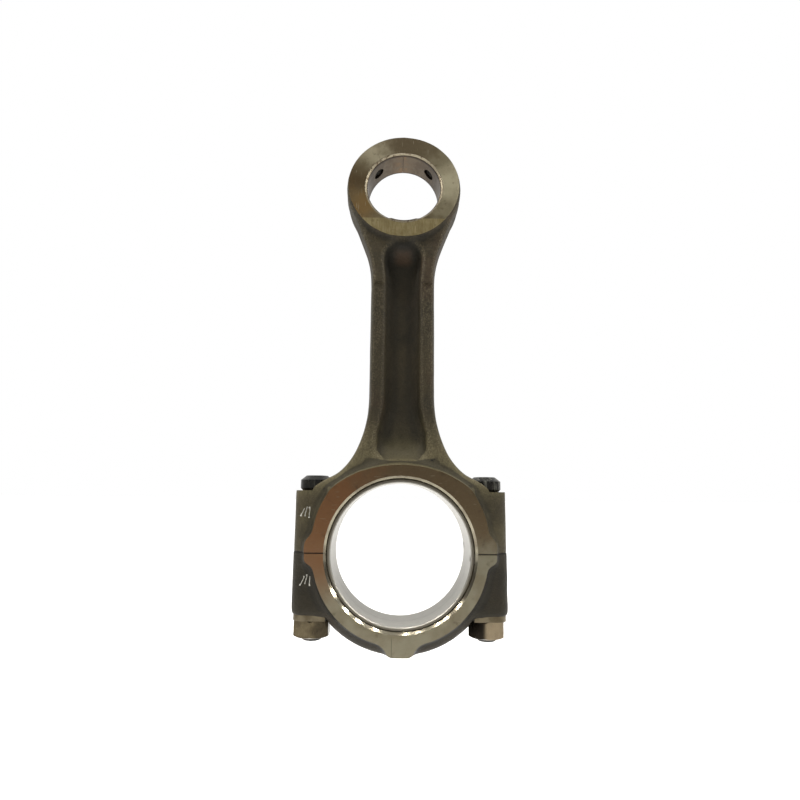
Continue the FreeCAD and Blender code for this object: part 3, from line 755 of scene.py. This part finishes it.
rodBlank, rodTree, rodRidge = forgedBlank("rodForging", "rod_forging", [pushRodFaces], rodStock, 3, pocketEnds)
print("rod blank", len(rodBlank.data.polygons))
rodSteps = [("DIFFERENCE", blockTool((-far, -far, -far), (far, far, bore["joint"])))]
rodSteps += both(lambda side: faceTool(side, -far, bigEndTop))
rodSteps += both(leaningTool) + both(landTool)
rodSteps += [("DIFFERENCE", rodTool((0, -far, 0), (0, far, 0), housingR, segments=256)),
             ("DIFFERENCE", rodTool((0, -far, pinZ), (0, far, pinZ), eyeBoreR))]
rodSteps += both(lambda side: chamferTool(housingR, bore["chamfer"], thrustHalf, side))
rodSteps += both(lambda side: oilDrill(side, pinR - 2 * mm, eye["outerR"] + 4 * mm)) + both(oilMouthTool)
for side in (-1, 1):
    rodSteps += headSeatTools(side)
rodSteps.append(("DIFFERENCE", tangSlot(True)))
rodSteps += tallyTools(rodBlank)
machine(rodBlank, rodSteps)


def onThrust(centre, normal):
    return (abs(centre[:, 1]) > thrustHalf - 0.02 * mm) & (abs(centre[:, 2]) < bigEndTop)


def onEyeFace(centre, normal):
    near = abs(abs(centre[:, 1]) - eyeHalfAt(centre[:, 2])) < 0.03 * mm
    return (centre[:, 2] > eye["foot"]) & near & (abs(normal[:, 1]) > 0.95)


def onEyeFlat(centre, normal):
    return onEyeFace(centre, normal) & (centre[:, 2] < eye["taperStart"])


def onOilWay(centre, normal):
    along = (abs(centre[:, 0]) + centre[:, 2] - pinZ) / math.sqrt(2)
    across = np.hypot((abs(centre[:, 0]) - centre[:, 2] + pinZ) / math.sqrt(2), centre[:, 1])
    return (along > 0) & (across < eye["oilR"] + close) & (centre[:, 2] > pinZ)


def onPad(centre, normal):
    upright = abs(normal[:, 2]) < 0.1
    return (centre[:, 2] < nutSeatZ + pad["stands"] - 0.1 * mm) & (abs(centre[:, 0]) > pad["innerX"]) & upright


def onMarks(centre, normal):
    # the floors of the tally strokes, which stay bright
    found = np.zeros(len(centre), bool)
    for x, z, angle in tallyStrokes():
        along = (centre[:, 0] - x) * math.cos(angle) + (centre[:, 2] - z) * math.sin(angle)
        across = (centre[:, 2] - z) * math.cos(angle) - (centre[:, 0] - x) * math.sin(angle)
        found |= (abs(along) < tally["halfLong"]) & (abs(across) < tally["halfWide"] + 0.02 * mm)
    return found & (centre[:, 1] < -10 * mm)


def onBevel(centre, normal):
    crank = np.hypot(centre[:, 0], centre[:, 2])
    return (crank < housingR + bore["chamfer"] + close) & (abs(abs(normal[:, 1]) - math.sqrt(0.5)) < 0.05)


def onBored(centre, normal):
    crank = np.hypot(centre[:, 0], centre[:, 2]) < housingR + close
    pin = np.hypot(centre[:, 0], centre[:, 2] - pinZ) < eyeBoreR + close
    parting = (abs(centre[:, 2]) < bore["joint"] + 0.01 * mm) & (abs(normal[:, 2]) > 0.9)
    fromBolt = np.hypot(abs(centre[:, 0]) - nutX, centre[:, 1])
    hole = (fromBolt < seat["boltHoleR"] + close) & (centre[:, 2] < seatZ + close)
    headSeat = (fromBolt < seat["reliefR"]) & (abs(centre[:, 2] - seatZ) < 0.02 * mm)
    nutSeat = abs(centre[:, 2] - nutSeatZ) < 0.02 * mm
    return crank | pin | parting | hole | headSeat | nutSeat


rodZones = [("scribed", onMarks), ("bored", onBored), ("bevel", onBevel), ("thrust", onThrust),
            ("eyeFace", onEyeFace), ("eyeFlat", onEyeFlat), ("oilWay", onOilWay)]
finished(rodBlank, rodTree, rodRidge, rodZones, "rod", "rod_forging")


pad = {"inset": 1.5 * mm, "halfY": 15.5 * mm, "cornerR": 7.1 * mm, "innerX": 47.0 * mm, "high": 7.0 * mm,
       "stands": 3.0 * mm, "cornerParts": 12}


def pushCapFaces(place):
    pushThrust(place)
    if abs(place.z) < 0.03 * mm:
        place.z = stock
    if abs(place.z - nutSeatZ) < close:
        place.z += pad["stands"]                # the nut pads are put back crisp after the forging


def capStock(shape):
    addRod(shape, (0, -thrustHalf - stock, 0), (0, thrustHalf + stock, 0), housingR + stock)
    for side in (-1, 1):
        addRod(shape, (side * nutX, 0, nutSeatZ + 4 * mm), (side * nutX, 0, stock), seat["fillR"])


def nutPad(side):
    # a machined pad with two round outer corners
    outer, half = boxes["bearing_cap"][1].x - pad["inset"], pad["halfY"] - pad["inset"]
    outline = [(side * pad["innerX"], -half, nutSeatZ), (side * pad["innerX"], half, nutSeatZ)]
    for turn, cornerY in ((0, 1), (1, -1)):
        for i in range(pad["cornerParts"] + 1):
            angle = math.radians(90 - 90 / pad["cornerParts"] * i - 90 * turn)
            outline.append((side * (outer - pad["cornerR"] + pad["cornerR"] * math.cos(angle)),
                            cornerY * (half - pad["cornerR"]) + pad["cornerR"] * math.sin(angle), nutSeatZ))
    return prismTool(outline, (0, 0, pad["high"]))


capBlank, capTree, capRidge = forgedBlank("bearingCap", "bearing_cap", [pushCapFaces], capStock, 8)
print("cap blank", len(capBlank.data.polygons))
capSteps = [("UNION", nutPad(side)) for side in (-1, 1)]
capSteps.append(("DIFFERENCE", blockTool((-far, -far, -bore["joint"]), (far, far, far))))
capSteps += both(lambda side: faceTool(side, -far, far))
capSteps.append(("DIFFERENCE", rodTool((0, -far, 0), (0, far, 0), housingR, segments=256)))
capSteps += both(lambda side: chamferTool(housingR, bore["chamfer"], thrustHalf, side))
capSteps += both(lambda side: rodTool((side * nutX, 0, nutSeatZ - 30 * mm), (side * nutX, 0, nutSeatZ),
                                      seat["nutReliefR"]))
capSteps += both(lambda side: rodTool((side * nutX, 0, nutSeatZ - 5 * mm), (side * nutX, 0, 5 * mm),
                                      seat["boltHoleR"]))
capSteps.append(("DIFFERENCE", tangSlot(False)))
capSteps += tallyTools(capBlank)
machine(capBlank, capSteps)
capZones = [("scribed", onMarks), ("pad", onPad), ("bored", onBored), ("bevel", onBevel), ("thrust", onThrust)]
finished(capBlank, capTree, capRidge, capZones, "cap", "bearing_cap")


bush = {"blankHalf": 20 * mm, "short": 0.1 * mm, "bevel": 1.6 * mm, "slitX": -0.6 * mm, "slit": 0.12 * mm,
        "play": 0.01 * mm}


def bushBevelTool(side):
    # bevel inside the bush's leaning ends, square to the leaning face
    lean = math.atan(eye["slope"])
    outward = Vector((0, side * math.cos(lean), math.sin(lean)))
    face = Vector((0, side * (float(eyeHalfAt(pinZ)) - bush["short"]), pinZ))
    cone = rodTool(face - outward * (bush["bevel"] + margin), face + outward * margin, pinR - margin,
                   pinR + bush["bevel"] + margin)
    return machine(cone, [("INTERSECT", blockTool((-far, -far, eye["taperStart"]), (far, far, pinZ + far)))])


def smallEndBush():
    made = rodTool((0, -bush["blankHalf"], pinZ), (0, bush["blankHalf"], pinZ), eyeBoreR - bush["play"])
    made.name = made.data.name = "smallEndBush"
    steps = [("DIFFERENCE", rodTool((0, -far, pinZ), (0, far, pinZ), pinR))]
    steps += both(lambda side: leaningTool(side, bush["short"])) + both(bushBevelTool)
    steps.append(("DIFFERENCE", blockTool((bush["slitX"] - bush["slit"] / 2, -far, pinZ + pinR - 2 * mm),
                                          (bush["slitX"] + bush["slit"] / 2, far, pinZ + eyeBoreR + 2 * mm))))
    steps += both(lambda side: oilDrill(side, pinR - 4 * mm, eyeBoreR + 4 * mm))
    machine(made, steps)
    made.data.materials.clear()
    made.data.materials.append(finishes["bush"])
    made.data.shade_smooth()
    made.data.set_sharp_from_angle(angle=sharpAngle)
    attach(made, "rod")
    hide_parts("small_end_bush")
    print("bush made", len(made.data.polygons))


smallEndBush()


def dress(node, key):
    mesh = frame["nodes"][node].data
    mesh.materials.clear()
    mesh.materials.append(finishes[key])


for node, key in (("upper_bearing_shell", "shell"), ("lower_bearing_shell", "shell"),
                  ("left_rod_bolt", "bolt"), ("right_rod_bolt", "bolt"),
                  ("left_rod_nut", "nut"), ("right_rod_nut", "nut")):
    dress(node, key)
print("bought-in pieces dressed")


studio = {"floorPale": 0.90, "floorHalf": 30.0, "floorDrop": 82 * mm, "floorThick": 12 * mm, "floorLift": 0.42,
          "front": 0.22, "behind": 0.60, "behindFrom": (-0.35, 0.75), "above": 0.55, "aboveFrom": (0.25, 0.95),
          "skyTone": (1, 0.985, 0.955, 1), "lampTone": (1, 0.97, 0.92)}
arch = {"angles": (24, 41, 54, 69, 94, 104, 121, 129, 143), "forward": 0.20, "distance": 0.95, "size": 0.045,
        "power": 1.25}
keyLamp = {"place": (-0.75, -0.85, 1.05), "aim": (0, 0, 0.1), "size": 0.5, "power": 7.0}
topLamp = {"place": (0.2, 0.1, 1.6), "aim": (0, 0, 0), "size": 1.6, "power": 12.0}


def floor():
    # low enough for the cap and the nuts to come down off the bolts
    half, level = studio["floorHalf"], cadBox[0].z - studio["floorDrop"]
    made = objectFrom("studioFloor", lambda shape: addBlock(
        shape, (-half, -half, level - studio["floorThick"]), (half, half, level)))
    f = Finish("studioFloor", Roughness=0.8, Emission_Color=(1, 1, 1, 1), Emission_Strength=studio["floorLift"])
    f.feed(Base_Color=f.tint((studio["floorPale"],) * 3, (studio["floorPale"] * 0.98,) * 3, f.noise(0.2)))
    made.data.materials.append(f.material)


def sky():
    # brighter behind and above than in front; a plain white backdrop where it is looked at directly
    world = bpy.data.worlds.new("studio")
    world.use_nodes = True
    tree = world.node_tree
    plain, output = tree.nodes["Background"], tree.nodes["World Output"]
    f = Finish.__new__(Finish)
    f.tree = tree
    direction = f.node("ShaderNodeTexCoord", output="Generated")
    back, up = (f.node("ShaderNodeSeparateXYZ", {}, {0: direction}, axis) for axis in "YZ")
    light = back.step(*studio["behindFrom"]) * studio["behind"] + up.step(*studio["aboveFrom"]) * studio["above"]
    soft = f.node("ShaderNodeBackground", {}, {"Color": studio["skyTone"], "Strength": light + studio["front"]})
    plain.inputs["Color"].default_value = (1, 1, 1, 1)
    seen = f.node("ShaderNodeLightPath", output="Is Camera Ray")
    shown = f.node("ShaderNodeMixShader", {}, {0: seen, 1: soft, 2: Wire(f, plain.outputs[0])})
    tree.links.new(shown.socket, output.inputs["Surface"])
    scene.world = world


def lamp(name, place, aim, size, power, mirrored):
    data = bpy.data.lights.new(name, "AREA")
    data.shape = "RECTANGLE"
    data.size = data.size_y = size
    data.energy = power
    data.color = studio["lampTone"]
    made = bpy.data.objects.new(name, data)
    scene.collection.objects.link(made)
    made.location = place
    made.visible_glossy = mirrored
    made.rotation_mode = "QUATERNION"
    made.rotation_quaternion = (Vector(aim) - Vector(place)).to_track_quat("-Z", "Y")


floor()
sky()
scene.view_settings.view_transform = "Standard"
for i, angle in enumerate(arch["angles"]):
    # small panels in an arch over the rod; the bore's bevel catches each one
    turn = math.radians(angle)
    spot = Vector((math.cos(turn), -arch["forward"], math.sin(turn))) * arch["distance"]
    lamp(f"arch{i}", spot, (0, 0, 0), arch["size"], arch["power"], True)
for name, lit in (("key", keyLamp), ("top", topLamp)):
    lamp(name, lit["place"], lit["aim"], lit["size"], lit["power"], False)
print("studio lit by", len(arch["angles"]) + 2, "lamps")


# angles in radians, lens and sensor in millimetres
view = {"place": (-0.0060757, -0.38900035, 0.0355594), "pitch": 0.16864, "yaw": 0.0127, "roll": 0.0100,
        "sensor": 36.0, "lens": 25.54515, "clip": (0.01, 50.0)}
cameraData = bpy.data.cameras.new("camera")
cameraData.sensor_width = view["sensor"]
cameraData.lens = view["lens"]
cameraData.clip_start, cameraData.clip_end = view["clip"]
camera = bpy.data.objects.new("camera", cameraData)
scene.collection.objects.link(camera)
camera.matrix_world = (Matrix.Translation(view["place"]) @ Matrix.Rotation(-view["yaw"], 4, "Z")
                       @ Matrix.Rotation(math.pi / 2 + view["pitch"], 4, "X")
                       @ Matrix.Rotation(view["roll"], 4, "Z"))
scene.camera = camera
